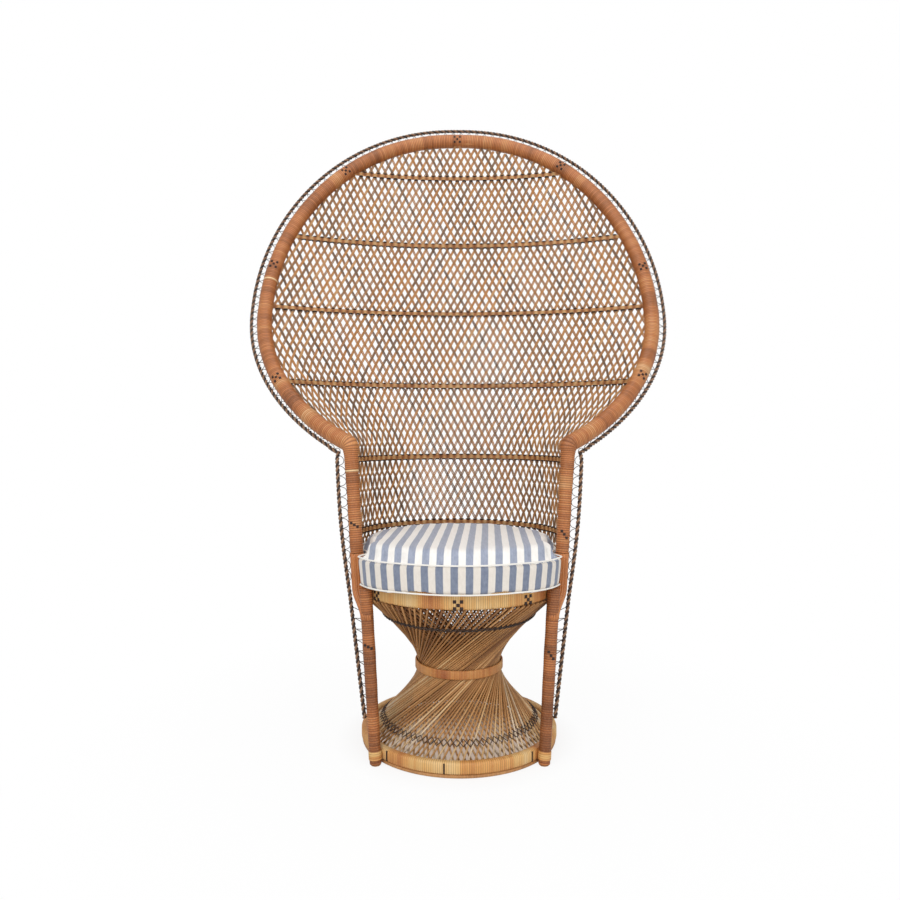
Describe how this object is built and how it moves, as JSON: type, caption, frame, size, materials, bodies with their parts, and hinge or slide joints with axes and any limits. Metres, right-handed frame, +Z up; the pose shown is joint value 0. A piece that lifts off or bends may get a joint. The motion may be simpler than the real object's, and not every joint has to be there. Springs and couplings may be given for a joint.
{
  "type": "peacock armchair",
  "caption": "Rattan peacock chair with a tall fan back of crossed reeds, an hourglass base of leaning rods and a loose round box cushion.",
  "frame": {"origin": "on the floor, under the middle of the chair's bounding box", "axes": "+Z up, -Y the way the sitter faces, +X to the left hand of the sitter"},
  "size_m": [1.0388, 0.6824, 1.5241],
  "materials": {
    "red_cane_wrap": "satin",
    "light_cane_wrap": "satin",
    "bare_cane": "satin",
    "pole": "matte",
    "rods": "satin",
    "reed_weave": "matte",
    "two_tone_braid": "matte",
    "dark_twine": "matte",
    "cushion_cloth": "matte"
  },
  "bodies": {
    "chair": {"back_band_1": "light_cane_wrap", "back_band_2": "light_cane_wrap", "back_band_3": "light_cane_wrap", "back_band_4": "light_cane_wrap", "back_band_5": "light_cane_wrap", "back_band_6": "light_cane_wrap", "barrel_weave_1": "reed_weave", "barrel_weave_2": "reed_weave", "barrel_weave_3": "reed_weave", "barrel_weave_4": "reed_weave", "barrel_weave_5": "reed_weave", "barrel_weave_6": "reed_weave", "base_hoop": "light_cane_wrap", "crown_weave_1": "reed_weave", "crown_weave_2": "reed_weave", "crown_weave_3": "reed_weave", "edge_braid": "two_tone_braid", "edge_scallops": "dark_twine", "left_leg_scallops": "dark_twine", "right_leg_scallops": "dark_twine", "fan_hoop": "pole", "fan_hoop_binding": "red_cane_wrap", "fan_weave_1": "reed_weave", "fan_weave_2": "reed_weave", "fan_weave_3": "reed_weave", "fan_weave_4": "reed_weave", "foot_hoop": "bare_cane", "inner_rods": "rods", "left_foot_lashing": "light_cane_wrap", "left_post": "pole", "left_post_binding": "red_cane_wrap", "left_seat_lashing": "light_cane_wrap", "left_shoulder_lashing": "light_cane_wrap", "lower_back_rail": "light_cane_wrap", "lower_twine_ring": "dark_twine", "outer_rods": "rods", "right_foot_lashing": "light_cane_wrap", "right_post": "pole", "right_post_binding": "red_cane_wrap", "right_seat_lashing": "light_cane_wrap", "right_shoulder_lashing": "light_cane_wrap", "seat_deck": "reed_weave", "seat_hoop": "light_cane_wrap", "shoulder_weave_1": "reed_weave", "shoulder_weave_2": "reed_weave", "shoulder_weave_3": "reed_weave", "shoulder_weave_4": "reed_weave", "shoulder_weave_5": "reed_weave", "shoulder_weave_6": "reed_weave", "upper_twine_ring": "dark_twine", "waist_band": "light_cane_wrap", "left_leg": "pole", "right_leg": "pole", "left_leg_binding": "red_cane_wrap", "right_leg_binding": "red_cane_wrap"},
    "cushion": {"cushion": "cushion_cloth"}
  },
  "joints": [
    {"name": "cushion_lift", "type": "slide", "parent": "chair", "child": "cushion", "axis": [0, 0, 1], "range_m": [0, 0.2]}
  ]
}
